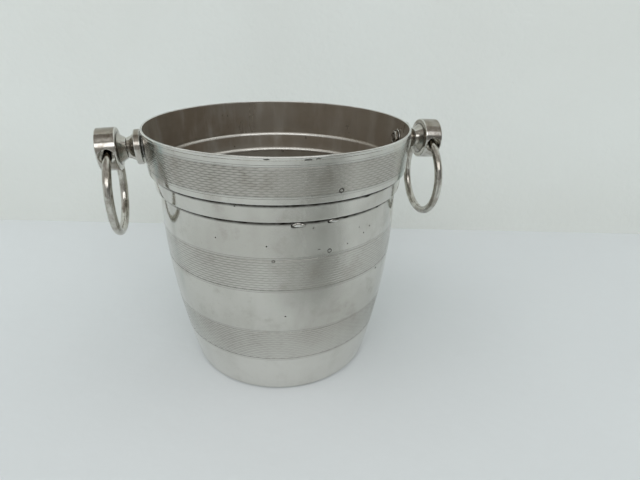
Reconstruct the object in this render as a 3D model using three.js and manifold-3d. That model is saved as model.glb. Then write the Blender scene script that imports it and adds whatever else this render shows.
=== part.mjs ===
// Champagne bucket in silver-plated brass: a spun bucket with a stepped collar, and on each side
// a turned handle head, bolted through the collar, that carries a loose ring.
// Millimetres, +Z up. The origin is the centre of the foot, on the table. The handles lie along X.

import * as THREE from 'three';
import { mergeVertices } from 'three/addons/utils/BufferGeometryUtils.js';
import Module from 'manifold-3d';

const wasm = await Module();
wasm.setup();

// ---- Bucket shell: one spun sheet ----
const HEIGHT = 185;
const RIM_RADIUS = 95;
const FOOT_RADIUS = 70.8;
const WALL = 1.1;

// Rolled edge at the mouth
const HEM_HEIGHT = 2.2;
const HEM_STAND = 0.4; // how far it stands out from the collar
const HEM_ROUND = 0.6;

// Collar, the widest stretch, and the plain band under it
const COLLAR_HEIGHT = 28.7;
const COLLAR_TAPER = 1.3; // radius lost from the hem down to the collar's foot
const COLLAR_STEP = 2.1; // radius lost in the step under the collar
const BAND_HEIGHT = 12.5;
const BAND_TAPER = 1.6;
const BAND_STEP = 2.9;
const STEP_ROUND = 0.9;

// Body: a line from the foot to the band, swelled outwards
const LOWER_SWELL = 5.9;
const UPPER_SWELL = 7.8;
const FOOT_ROUND = 2.6;

// Underside: a raised centre inside a flat foot ring
const FOOT_RING_WIDTH = 7;
const RECESS_HEIGHT = 1.5;
const RECESS_SLOPE = 3;

// ---- Handles ----
const HANDLE_BELOW_RIM = 14.25;
const SEAT_GAP = 0.3; // between pieces that are clamped together

const STUD_RADIUS = 3;
const STUD_CLEARANCE = 0.3;

const BOSS_SEAT_RADIUS = 7.5;
const BOSS_SEAT_HEIGHT = 0.8;
const BOSS_FLANGE_RADIUS = 12;
const BOSS_FLANGE_THICKNESS = 4.5;
const BOSS_EDGE = 0.6;
const BOSS_CONE_RADIUS = 9.7;
const BOSS_CONE_LENGTH = 5.2;
const WAIST_RADIUS = 7;
const CONE_HOLLOW = 0.5; // how far each cone's side curves in

const HEAD_CONE_RADIUS = 10.9;
const HEAD_CONE_LENGTH = 5.3;
const DRUM_RADIUS = 14.6;
const DRUM_LENGTH = 13.2;
const DRUM_EDGE = 0.7;

const WASHER_RADIUS = 6.6;
const WASHER_THICKNESS = 0.7;
const WASHER_EDGE = 0.2;
const NUT_SIDES = 6;
const NUT_ACROSS_FLATS = 10;
const NUT_HEIGHT = 2;
const STUD_PAST_NUT = 0.3;

// ---- Rings ----
const RING_RADIUS = 29.5; // to the middle of the wire
const WIRE_RADIUS = 2.95;
const RING_PLAY = 0.15; // least gap between the ring and the hole it hangs in
const HOLE_BELOW_AXIS = 2; // the cross hole lies under the drum's own axis

// ---- Facets ----
const SHELL_FACETS = 56;
const TURNED_FACETS = 32;
const STUD_FACETS = 16;
const RING_STEPS = 48;
const WIRE_FACETS = 10;
const ROUND_STEPS = 1;
const CURVE_STEPS = 3;
const BODY_STEPS = 7;
const MERGE_DISTANCE = 1e-4;

// ---- Heights and radii that follow ----
const hemFoot = HEIGHT - HEM_HEIGHT;
const collarFoot = HEIGHT - COLLAR_HEIGHT;
const bandFoot = collarFoot - BAND_HEIGHT;
const collarTopRadius = RIM_RADIUS - HEM_STAND;
const collarFootRadius = collarTopRadius - COLLAR_TAPER;
const bandTopRadius = collarFootRadius - COLLAR_STEP;
const bandFootRadius = bandTopRadius - BAND_TAPER;
const bodyTopRadius = bandFootRadius - BAND_STEP;
const footRingOuter = FOOT_RADIUS - FOOT_ROUND;
const footRingInner = footRingOuter - FOOT_RING_WIDTH;
const recessRadius = footRingInner - RECESS_SLOPE;
const collarSlope = COLLAR_TAPER / (hemFoot - collarFoot);
const boreRadius = STUD_RADIUS + STUD_CLEARANCE;

// The handle's own X axis starts on the collar's outer face and runs straight out from it.
const handleHeight = HEIGHT - HANDLE_BELOW_RIM;
const handleWallRadius = collarTopRadius - (hemFoot - handleHeight) * collarSlope;
const handleDroop = Math.atan(collarSlope);
const flangeBack = SEAT_GAP + BOSS_SEAT_HEIGHT;
const flangeFront = flangeBack + BOSS_FLANGE_THICKNESS;
const waist = flangeFront + BOSS_CONE_LENGTH;
const headBack = waist + SEAT_GAP;
const drumBack = headBack + HEAD_CONE_LENGTH;
const drumFront = drumBack + DRUM_LENGTH;
const holeAlong = (drumBack + drumFront) / 2;

// The washer is flat and the wall behind it curves, so its edge stands off by the wall's rise.
const innerWallRadius = handleWallRadius - WALL;
const wallRise = innerWallRadius - Math.sqrt(innerWallRadius ** 2 - WASHER_RADIUS ** 2);
const washerFront = -(WALL + wallRise + SEAT_GAP);
const washerBack = washerFront - WASHER_THICKNESS;
const nutFront = washerBack - SEAT_GAP;
const nutBack = nutFront - NUT_HEIGHT;
const studTip = nutBack - STUD_PAST_NUT;

// The hole is wide enough for the ring's curve across the whole drum, with play on both sides.
const ringInnerRadius = RING_RADIUS - WIRE_RADIUS;
const ringRise = ringInnerRadius - Math.sqrt(ringInnerRadius ** 2 - DRUM_RADIUS ** 2);
const crossHoleRadius = WIRE_RADIUS + ringRise / 2 + RING_PLAY;
const ringHang = RING_RADIUS - ringRise / 2; // from the hole's axis down to the ring's centre

// ---- Solids ----
function toSolid(geometry) {
  const bare = geometry.clone();
  bare.deleteAttribute('normal');
  bare.deleteAttribute('uv');
  const merged = mergeVertices(bare, MERGE_DISTANCE);
  const index = merged.index.array;
  const triangles = [];
  for (let i = 0; i < index.length; i += 3) {
    const [a, b, c] = index.slice(i, i + 3);
    const shrunk = a === b || b === c || c === a; // as at the pole of a lathe
    if (!shrunk) {
      triangles.push(a, b, c);
    }
  }
  return new wasm.Manifold(new wasm.Mesh({
    numProp: 3,
    vertProperties: new Float32Array(merged.attributes.position.array),
    triVerts: new Uint32Array(triangles),
  }));
}

function toGeometry(solid) {
  const mesh = solid.getMesh();
  const geometry = new THREE.BufferGeometry();
  geometry.setAttribute('position', new THREE.BufferAttribute(mesh.vertProperties, 3));
  geometry.setIndex(new THREE.BufferAttribute(mesh.triVerts, 1));
  geometry.computeVertexNormals();
  return geometry;
}

// A welded mesh of the geometry, with the drills taken out of it.
function solid(geometry, ...drills) {
  const left = drills.reduce((rest, drill) => rest.subtract(toSolid(drill)), toSolid(geometry));
  return toGeometry(left);
}

// Profiles are [radius, distance along the axis]. They run outwards, up the outside and back in.
function turn(profile, facets) {
  return new THREE.LatheGeometry(profile.map(([r, a]) => new THREE.Vector2(r, a)), facets);
}

function turnUpright(profile, facets) {
  return turn(profile, facets).rotateX(Math.PI / 2);
}

function turnAlongX(profile, facets) {
  return turn(profile, facets).rotateZ(-Math.PI / 2);
}

// A curve from one profile point to another that heads for a third on the way.
function bend(from, towards, to, steps) {
  const curve = new THREE.QuadraticBezierCurve(
    new THREE.Vector2(...from),
    new THREE.Vector2(...towards),
    new THREE.Vector2(...to),
  );
  return curve.getPoints(steps).map((p) => [p.x, p.y]);
}

// A rounded corner of a profile whose sides run along and across the axis.
function roundCorner([r, a], [fromR, fromA], [toR, toA]) {
  return bend([r + fromR, a + fromA], [r, a], [r + toR, a + toA], ROUND_STEPS);
}

// ---- Bucket shell ----
const bodyCurve = new THREE.CubicBezierCurve(
  new THREE.Vector2(FOOT_RADIUS, 0),
  new THREE.Vector2((2 * FOOT_RADIUS + bodyTopRadius) / 3 + LOWER_SWELL, bandFoot / 3),
  new THREE.Vector2((FOOT_RADIUS + 2 * bodyTopRadius) / 3 + UPPER_SWELL, (2 * bandFoot) / 3),
  new THREE.Vector2(bodyTopRadius, bandFoot),
);

function bodyRadius(height) {
  return bodyCurve.getPoint(height / bandFoot).x; // the heights are evenly spaced on this curve
}

// The body's side between two heights, set in from the outer face.
function bodySide(fromHeight, toHeight, inset) {
  const points = [];
  for (let i = 0; i <= BODY_STEPS; i += 1) {
    const height = fromHeight + ((toHeight - fromHeight) * i) / BODY_STEPS;
    points.push([bodyRadius(height) - inset, height]);
  }
  return points;
}

function shellOutside() {
  const side = bodySide(FOOT_ROUND, bandFoot, 0);
  return [
    [0, RECESS_HEIGHT],
    [recessRadius, RECESS_HEIGHT],
    [footRingInner, 0],
    ...bend([footRingOuter, 0], [FOOT_RADIUS, 0], side[0], CURVE_STEPS),
    ...side.slice(1),
    ...roundCorner([bandFootRadius, bandFoot], [-STEP_ROUND, 0], [0, STEP_ROUND]),
    [bandTopRadius, collarFoot],
    ...roundCorner([collarFootRadius, collarFoot], [-STEP_ROUND, 0], [0, STEP_ROUND]),
    [collarTopRadius, hemFoot],
    [RIM_RADIUS, hemFoot + HEM_STAND],
    ...roundCorner([RIM_RADIUS, HEIGHT], [0, -HEM_ROUND], [-HEM_ROUND, 0]),
  ];
}

function shellInside() {
  const floor = RECESS_HEIGHT + WALL;
  const side = bodySide(bandFoot - STEP_ROUND, WALL + FOOT_ROUND, WALL);
  const corner = bodyRadius(WALL) - WALL;
  return [
    ...roundCorner([collarTopRadius - WALL, HEIGHT], [HEM_ROUND, 0], [0, -HEM_ROUND]),
    [collarFootRadius - WALL, collarFoot + WALL],
    ...roundCorner([bandTopRadius - WALL, collarFoot + WALL], [STEP_ROUND, 0], [0, -STEP_ROUND]),
    [bandFootRadius - WALL, bandFoot + WALL],
    ...roundCorner([bodyTopRadius - WALL, bandFoot + WALL], [STEP_ROUND, 0], [0, -STEP_ROUND]),
    ...side.slice(0, BODY_STEPS),
    ...bend(side[BODY_STEPS], [corner, WALL], [corner - FOOT_ROUND, WALL], CURVE_STEPS),
    [footRingInner, WALL],
    [recessRadius, floor],
    [0, floor],
  ];
}

// A round bar along the handle's axis, long enough to pass through the collar's curved wall.
function wallDrill(side) {
  const length = 4 * (WALL + wallRise);
  const drill = new THREE.CylinderGeometry(boreRadius, boreRadius, length, STUD_FACETS);
  drill.rotateZ(-Math.PI / 2);
  drill.rotateY(handleDroop);
  drill.translate(handleWallRadius, 0, handleHeight);
  return drill.rotateZ(side.turn);
}

// ---- Handle pieces, in the handle's own frame ----
// The point that a cone's side heads for, which curves it inwards.
function hollow(radius, edge, neck) {
  return [(radius + WAIST_RADIUS) / 2 - CONE_HOLLOW, (edge + neck) / 2];
}

function boss() {
  const towards = hollow(BOSS_CONE_RADIUS, flangeFront, waist);
  return turnAlongX([
    [boreRadius, SEAT_GAP],
    [BOSS_SEAT_RADIUS, SEAT_GAP],
    [BOSS_SEAT_RADIUS, flangeBack],
    ...roundCorner([BOSS_FLANGE_RADIUS, flangeBack], [-BOSS_EDGE, 0], [0, BOSS_EDGE]),
    ...roundCorner([BOSS_FLANGE_RADIUS, flangeFront], [0, -BOSS_EDGE], [-BOSS_EDGE, 0]),
    ...bend([BOSS_CONE_RADIUS, flangeFront], towards, [WAIST_RADIUS, waist], CURVE_STEPS),
    [boreRadius, waist],
    [boreRadius, SEAT_GAP],
  ], TURNED_FACETS);
}

// A round bar from front to back, longer than the drum is wide.
function crossDrill() {
  const length = 3 * DRUM_RADIUS;
  return new THREE.CylinderGeometry(crossHoleRadius, crossHoleRadius, length, TURNED_FACETS)
    .translate(holeAlong, 0, -HOLE_BELOW_AXIS);
}

function handleHead() {
  const towards = hollow(HEAD_CONE_RADIUS, drumBack, headBack);
  return turnAlongX([
    [0, studTip],
    [STUD_RADIUS, studTip],
    [STUD_RADIUS, headBack],
    ...bend([WAIST_RADIUS, headBack], towards, [HEAD_CONE_RADIUS, drumBack], CURVE_STEPS),
    ...roundCorner([DRUM_RADIUS, drumBack], [-DRUM_EDGE, 0], [0, DRUM_EDGE]),
    ...roundCorner([DRUM_RADIUS, drumFront], [0, -DRUM_EDGE], [-DRUM_EDGE, 0]),
    [0, drumFront],
  ], TURNED_FACETS);
}

function washer() {
  return turnAlongX([
    [boreRadius, washerBack],
    [WASHER_RADIUS - WASHER_EDGE, washerBack],
    [WASHER_RADIUS, washerBack + WASHER_EDGE],
    [WASHER_RADIUS, washerFront],
    [boreRadius, washerFront],
    [boreRadius, washerBack],
  ], TURNED_FACETS);
}

function nut() {
  const reach = NUT_ACROSS_FLATS / 2 / Math.cos(Math.PI / NUT_SIDES); // from the axis to a corner
  const corners = Array.from({ length: NUT_SIDES }, (_, i) => {
    const angle = (2 * Math.PI * i) / NUT_SIDES;
    return new THREE.Vector2(reach * Math.cos(angle), reach * Math.sin(angle));
  });
  const outline = new THREE.Shape(corners);
  const bore = new THREE.Path();
  bore.absarc(0, 0, boreRadius, 0, 2 * Math.PI, true);
  outline.holes.push(bore);
  const block = new THREE.ExtrudeGeometry(outline, {
    depth: NUT_HEIGHT, bevelEnabled: false, curveSegments: STUD_FACETS,
  });
  return block.rotateY(Math.PI / 2).translate(nutBack, 0, 0);
}

function ring() {
  return new THREE.TorusGeometry(RING_RADIUS, WIRE_RADIUS, WIRE_FACETS, RING_STEPS)
    .rotateY(Math.PI / 2)
    .translate(0, 0, -ringHang);
}

// ---- Finishes ----
const PLATE = { color: 0xa5a59e, roughness: 0.25 };
const TURNED = { color: 0xa09d96, roughness: 0.36 };
const WIRE = { color: 0x9a958c, roughness: 0.34 };
const FASTENER = { color: 0x918e86, roughness: 0.41 };

// ---- Assembly ----
const SIDES = [
  { name: 'right', turn: 0 },
  { name: 'left', turn: Math.PI },
];

function piece(name, geometry, finish) {
  const mesh = new THREE.Mesh(geometry, new THREE.MeshStandardMaterial({ metalness: 1, ...finish }));
  mesh.name = name;
  return mesh;
}

function handle(side) {
  const clamped = new THREE.Group();
  clamped.position.set(handleWallRadius, 0, handleHeight);
  clamped.rotation.y = handleDroop;
  clamped.add(
    piece(`boss_${side.name}`, solid(boss()), TURNED),
    piece(`handle_head_${side.name}`, solid(handleHead(), crossDrill()), TURNED),
    piece(`washer_${side.name}`, solid(washer()), FASTENER),
    piece(`nut_${side.name}`, solid(nut()), FASTENER),
  );

  // The ring hangs straight down from the hole, whatever the head's own droop.
  const hung = piece(`ring_${side.name}`, solid(ring()), WIRE);
  clamped.updateMatrix();
  hung.position.set(holeAlong, 0, -HOLE_BELOW_AXIS).applyMatrix4(clamped.matrix);

  const whole = new THREE.Group();
  whole.rotation.z = side.turn;
  whole.add(clamped, hung);
  return whole;
}

function shell() {
  const spun = turnUpright([...shellOutside(), ...shellInside()], SHELL_FACETS);
  return solid(spun, ...SIDES.map(wallDrill));
}

const bucket = new THREE.Group();
bucket.add(piece('bucket_shell', shell(), PLATE), ...SIDES.map(handle));

export default bucket;
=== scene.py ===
"""Champagne bucket in worn silver plate: spun shell, engine-turned bands and two ring handles."""

import math

import bmesh
import bpy
import numpy as np
from bpy.props import FloatProperty, FloatVectorProperty, IntProperty, PointerProperty
from mathutils import Matrix, Vector


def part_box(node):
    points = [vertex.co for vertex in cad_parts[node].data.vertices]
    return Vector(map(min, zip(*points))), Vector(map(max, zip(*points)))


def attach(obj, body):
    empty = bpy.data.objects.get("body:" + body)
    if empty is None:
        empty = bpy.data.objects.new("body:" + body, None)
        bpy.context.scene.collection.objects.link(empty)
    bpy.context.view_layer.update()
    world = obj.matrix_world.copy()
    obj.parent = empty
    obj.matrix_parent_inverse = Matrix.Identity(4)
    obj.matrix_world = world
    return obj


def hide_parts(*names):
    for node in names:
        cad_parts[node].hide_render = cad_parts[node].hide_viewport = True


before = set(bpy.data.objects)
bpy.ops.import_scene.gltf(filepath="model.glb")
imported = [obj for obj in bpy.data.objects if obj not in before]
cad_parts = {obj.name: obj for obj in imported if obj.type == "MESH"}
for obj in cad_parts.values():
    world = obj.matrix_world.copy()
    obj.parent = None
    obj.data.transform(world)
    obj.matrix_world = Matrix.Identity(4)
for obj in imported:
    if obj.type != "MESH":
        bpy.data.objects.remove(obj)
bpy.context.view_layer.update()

bl_info = {
    "name": "Champagne Bucket",
    "version": (1, 0, 0),
    "blender": (4, 5, 0),
    "location": "3D View > Sidebar > Bucket",
    "description": "Makes a silver-plated champagne bucket with engine-turned bands and ring handles",
    "category": "Add Mesh",
}

SHELL_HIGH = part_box("bucket_shell")[1]
RING_LOW, RING_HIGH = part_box("ring_right")
SIDES = {"right": 0.0, "left": math.pi}
MM = 0.001

SHARP_ANGLE = math.radians(42)
CORNER_ANGLE = 0.12
GUARD_STEPS = (0.6, 1.2, 2.0)
TURNED_SPREAD = 0.5 * MM
BOSS_STEPS, HEAD_STEPS, SMALL_STEPS, STUD_STEPS = 128, 160, 96, 48
STEPS_PER_WAVE, STEPS_PER_LINE = 10, 6
SIDE_STEP = 1.9 * MM
# Rows of points under each step, in millimetres below it, that the painted shade line there fades over.
UNDER_SECOND_STEP = (3.9, 3.5, 3.1, 2.6, 2.1, 1.7, 1.3, 0.9)
UNDER_FIRST_STEP = (3.6, 3.2, 2.8, 2.4, 2.0, 1.6, 1.2, 0.8)

RUBBED_EDGE = (0.86, 0.85, 0.82)
# Colour of the inner ledges: worn plate with a painted highlight.
LEDGE_WEAR_AND_HIGHLIGHT = (0.78, 0.76, 0.71)
RUBBED_TURNING = (0.78, 0.77, 0.73)
# Colour of the painted reflection of the floor at the foot.
FOOT_REFLECTION_COLOUR = (0.88, 0.87, 0.83)
DARK_BLOTCH = (0.15, 0.125, 0.10)
FRONT_ANGLE = math.radians(83)


# ---- Sizes and colours ----
def length(label, description, millimetres):
    return FloatProperty(
        name=label, description=description, default=millimetres * MM, min=0.0,
        precision=5, subtype="DISTANCE", unit="LENGTH",
    )


def tint(label, description, colour):
    return FloatVectorProperty(
        name=label, description=description, default=colour, size=3, min=0.0, max=1.0, subtype="COLOR",
    )


def share(label, description, value):
    return FloatProperty(name=label, description=description, default=value, min=0.0, max=1.0)


class ShellSizes(bpy.types.PropertyGroup):
    """The spun shell."""

    height: length("Height", "From the table to the top of the rim", SHELL_HIGH.z / MM)
    mouth_radius: length("Mouth radius", "Outer radius of the rolled rim", SHELL_HIGH.y / MM)
    wall: length("Wall", "Thickness of the sheet", 1.1)
    hem_height: length("Rim height", "Height of the rolled rim", 2.2)
    hem_stand: length("Rim stand", "How far the rim stands out from the collar", 0.4)
    collar_height: length("Collar height", "From the top of the rim to the first step", 28.7)
    collar_taper: length("Collar taper", "Radius lost down the collar", 1.3)
    collar_step: length("First step", "Radius lost in the step under the collar", 2.1)
    band_height: length("Plain band", "Height of the plain band between the steps", 12.5)
    band_taper: length("Band taper", "Radius lost down the plain band", 1.6)
    band_step: length("Second step", "Radius lost in the step under the plain band", 2.9)
    step_round: length("Step round", "Rounding of each step's outer edge", 0.9)
    step_hollow: length("Step hollow", "Rounding of the corner under each step", 0.45)
    ledge_round: length("Ledge round", "Rounding of the two ledges inside", 2.2)
    foot_radius: length("Foot radius", "Radius that the body's curve starts from", 70.8)
    foot_round: length("Foot round", "Rounding at the foot", 2.6)
    foot_ring: length("Foot ring", "Width of the flat ring that the bucket stands on", 7.0)
    recess: length("Recess", "How far the underside is raised inside the ring", 1.5)
    recess_slope: length("Recess slope", "Width of the slope up to the raised underside", 3.0)
    lower_swell: length("Lower swell", "How far the lower body swells", 5.9)
    upper_swell: length("Upper swell", "How far the upper body swells", 7.8)
    line_width: length("Engraved line width", "Half the width of each line of the double borders", 0.16)
    line_depth: length("Engraved line depth", "Depth of each line of the double borders", 0.05)
    line_pair: length("Line pair", "Half the distance between a border's two lines", 0.55)
    round_steps: IntProperty(name="Round steps", description="Faces round the shell", default=232, min=48)


class EngravingSizes(bpy.types.PropertyGroup):
    """The three engine-turned bands."""

    collar_top: length("Collar band top", "Height of the collar band's upper edge", 178.6)
    collar_foot: length("Collar band foot", "Height of the collar band's lower edge", 161.6)
    upper_top: length("Upper band top", "Height of the upper body band's upper edge", 117.4)
    upper_foot: length("Upper band foot", "Height of the upper body band's lower edge", 95.3)
    lower_top: length("Lower band top", "Height of the lower body band's upper edge", 59.4)
    lower_foot: length("Lower band foot", "Height of the lower body band's lower edge", 34.1)
    line_gap: length("Line gap", "Height between one wavy line and the next", 1.58)
    body_gap: length("Body line gap", "The same on the body's two bands", 1.85)
    wave: length("Wave", "Length of one wave round the bucket", 6.0)
    depth: length("Cut depth", "Depth of the wavy lines", 0.13)
    sleeve: length("Sleeve", "Thickness of the patterned skin", 0.3)
    seat: length("Seat", "Depth of the recess that the patterned skin lies in", 0.36)
    margin: length("Border gap", "From each band's edge to the double line beside it", 1.0)
    swing: share("Wave height", "How far each line swings towards its neighbours", 0.42)
    body_swing: share("Body wave height", "How far each line swings on the body's two bands", 0.28)
    breadth: share("Cut breadth", "Breadth of each cut, as a share of the gap", 0.6)


class HandleSizes(bpy.types.PropertyGroup):
    """The turned handle heads and what bolts them on."""

    below_rim: length("Below rim", "From the top of the rim down to the stud", 14.25)
    seat_gap: length("Seat gap", "Gap between pieces that are clamped together", 0.3)
    stud_radius: length("Stud radius", "Outer radius of the stud's thread", 3.0)
    stud_clearance: length("Stud clearance", "Room round the stud", 0.3)
    thread_pitch: length("Thread pitch", "Rise of the stud's thread in one turn", 1.0)
    thread_depth: length("Thread depth", "Depth of the stud's thread", 0.5)
    thread_shown: length("Threaded end", "Length of thread behind the nut's far face", 5.0)
    boss_seat_radius: length("Boss seat radius", "Radius of the pad against the collar", 7.5)
    boss_seat_height: length("Boss seat height", "Height of the pad against the collar", 0.8)
    flange_radius: length("Flange radius", "Radius of the boss's flange", 12.0)
    flange_thickness: length("Flange thickness", "Thickness of the boss's flange", 4.5)
    boss_cone_radius: length("Boss cone radius", "Radius of the boss's cone at the flange", 9.7)
    boss_cone_length: length("Boss cone length", "Length of the boss's cone", 5.2)
    waist_radius: length("Waist radius", "Radius where the boss meets the head", 7.0)
    head_cone_radius: length("Head cone radius", "Radius of the head's cone at the drum", 10.9)
    head_cone_length: length("Head cone length", "Length of the head's cone", 5.3)
    cone_hollow: length("Cone hollow", "How far each cone curves in", 0.5)
    drum_radius: length("Drum radius", "Radius of the head's drum", 14.6)
    drum_length: length("Drum length", "Length of the head's drum", 13.2)
    edge_round: length("Edge round", "Rounding of the turned edges", 0.8)
    washer_radius: length("Washer radius", "Radius of the washer inside the collar", 6.6)
    washer_thickness: length("Washer thickness", "Thickness of the washer", 0.7)
    nut_flats: length("Nut across flats", "Width of the nut", 10.0)
    nut_height: length("Nut height", "Height of the nut", 2.0)
    stud_past_nut: length("Stud past nut", "How far the stud stands past the nut", 0.3)
    hole_drop: length("Hole drop", "How far the cross hole lies under the drum's axis", 2.0)
    hole_radius: length("Hole radius", "Radius of the cross hole", 5.287)
    hole_ease: length("Hole ease", "Rounding of the cross hole's lip", 0.35)


class RingSizes(bpy.types.PropertyGroup):
    """The loose rings."""

    wire_radius: length("Wire radius", "Radius of the ring's wire", 2.95)
    ring_radius: length(
        "Ring radius", "Radius to the middle of the wire", (RING_HIGH.y - RING_LOW.y) / 2 / MM - 2.95)
    seam_depth: length("Seam depth", "Depth of the soldered seam", 0.06)
    seam_width: length("Seam width", "Half the width of the soldered seam", 0.5)


class FinishColours(bpy.types.PropertyGroup):
    """Colours of the metal."""

    plate: tint("Plate", "Bright silver plate", (0.67, 0.655, 0.61))
    haze: tint("Haze", "Plate under a thin grey haze", (0.50, 0.48, 0.435))
    tarnish: tint("Tarnish", "Brown tarnish", (0.23, 0.19, 0.145))
    film: tint("Film", "Blue-green film on tarnished plate", (0.24, 0.33, 0.31))
    # Crust is the dirt in corners, nicks and cuts, and also the painted shade under the steps and on the
    # handles' cones.
    crust_and_shade: tint("Crust", "Dark dirt in corners and nicks", (0.022, 0.02, 0.016))
    lining: tint("Lining", "Tarnished plate inside the bucket", (0.285, 0.254, 0.212))
    turned: tint("Turned silver", "Handled plate on the turned pieces", (0.58, 0.555, 0.51))
    wire: tint("Wire", "Rubbed plate on the rings", (0.62, 0.60, 0.55))
    fastener: tint("Fastener", "Dull plate on the washer, nut and stud", (0.40, 0.375, 0.33))


class StageSizes(bpy.types.PropertyGroup):
    """The floor, the backdrop and the lens."""

    floor: tint("Floor", "Colour of the floor", (0.64, 0.675, 0.69))
    wall: tint("Backdrop", "Colour of the backdrop", (0.78, 0.82, 0.80))
    wall_distance: length("Backdrop distance", "From the bucket's axis to the backdrop", 235.0)
    lens: FloatProperty(name="Lens", description="Focal length in millimetres", default=26.44, min=1.0)


def settings():
    """The scene's sizes and colours."""
    return bpy.context.scene.champagne_bucket


# ---- Profiles, as lists of (radius, distance along the axis) ----
def bezier(points, steps):
    """Points along a curve with 3 or 4 control points, ends included."""
    points = np.asarray(points, float)
    t = np.linspace(0.0, 1.0, steps + 1)[:, None]
    while len(points) > 1:
        if points.ndim == 2:
            points = points[:, None, :] * np.ones((1, steps + 1, 1))
        points = points[:-1] * (1 - t) + points[1:] * t
    return [tuple(p) for p in points[0]]


def soften(corners, steps=6):
    """A polyline from (radius, along, rounding) corners, each corner rounded by that much."""
    line = []
    for i, (r, a, rounding) in enumerate(corners):
        if rounding <= 0.0 or i in (0, len(corners) - 1):
            line.append((r, a))
            continue
        here = Vector((r, a))
        back = Vector(corners[i - 1][:2]) - here
        ahead = Vector(corners[i + 1][:2]) - here
        reach = min(rounding, 0.48 * back.length, 0.48 * ahead.length)
        line += bezier(
            [here + back.normalized() * reach, here, here + ahead.normalized() * reach], steps)
    return line


def divide(line, longest):
    """The same polyline with no stretch longer than that."""
    out = [line[0]]
    for start, end in zip(line[:-1], line[1:]):
        parts = max(1, math.ceil(math.dist(start, end) / longest))
        out += [tuple(np.add(start, np.subtract(end, start) * k / parts)) for k in range(1, parts + 1)]
    return out


def without_repeats(line):
    out = [line[0]]
    for point in line[1:]:
        if math.dist(point, out[-1]) > 1e-7:
            out.append(point)
    return out


def corner_angles(line, closed):
    """The turn at each point of the profile: outward corners are positive and hollows negative."""
    points = np.asarray(line, float)
    before = points - np.roll(points, 1, axis=0)
    after = np.roll(points, -1, axis=0) - points
    angle = np.arctan2(
        before[:, 0] * after[:, 1] - before[:, 1] * after[:, 0],
        (before * after).sum(axis=1),
    )
    if not closed:
        angle[0] = angle[-1] = 0.0
    return angle


def guard(line, spread, closed=False):
    """Adds points beside the corners, so that wear painted there stays narrow."""
    angle = np.abs(corner_angles(line, closed))
    out = [line[0]]
    for i, (start, end) in enumerate(zip(line[:-1], line[1:])):
        span = math.dist(start, end)
        cuts = []
        beside = [k * spread for k in GUARD_STEPS if k * spread < 0.45 * span]
        if angle[i] > CORNER_ANGLE:
            cuts += beside
        if angle[i + 1] > CORNER_ANGLE:
            cuts += [span - cut for cut in beside]
        out += [tuple(np.add(start, np.subtract(end, start) * cut / span)) for cut in sorted(cuts)]
        out.append(end)
    return out


def turning(line, closed, spread, quiet=()):
    """How much of an outward edge or of a hollow lies near each point, from 0 to 1."""
    points = np.asarray(line, float)
    angle = corner_angles(line, closed)
    for low, high in quiet:
        angle[(points[:, 1] > low) & (points[:, 1] < high)] = 0.0
    gap = np.linalg.norm(points[:, None, :] - points[None, :, :], axis=2)
    weight = np.exp(-((gap / spread) ** 2))
    edge = weight @ np.clip(angle, 0.0, None) / 1.3
    hollow = weight @ np.clip(-angle, 0.0, None) / 1.4
    return np.clip(edge, 0.0, 1.0), np.clip(hollow, 0.0, 1.0)


# ---- Meshes ----
def close_up(mesh):
    """Merges doubles, points every face outwards and smooths all but the sharp edges."""
    work = bmesh.new()
    work.from_mesh(mesh)
    bmesh.ops.remove_doubles(work, verts=work.verts, dist=1e-7)
    bmesh.ops.dissolve_degenerate(work, edges=work.edges, dist=1e-8)
    bmesh.ops.recalc_face_normals(work, faces=work.faces)
    work.to_mesh(mesh)
    work.free()
    mesh.shade_smooth()
    mesh.set_sharp_from_angle(angle=SHARP_ANGLE)
    return mesh


def set_wear(mesh, edge, hollow):
    for name, values in (("edge", edge), ("hollow", hollow)):
        layer = mesh.attributes.new(name, "FLOAT", "POINT")
        layer.data.foreach_set("value", np.asarray(values, np.float32))


def grid_faces(rows, columns, wrap_rows):
    """Quads over a grid of points that wraps round its columns, and over its rows if asked."""
    row = np.arange(rows if wrap_rows else rows - 1)[:, None]
    column = np.arange(columns)[None, :]
    next_row, next_column = (row + 1) % rows, (column + 1) % columns
    corners = [(a * columns + b).ravel() for a, b in
               ((row, column), (row, next_column), (next_row, next_column), (next_row, column))]
    return np.stack(corners, axis=1)


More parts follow.
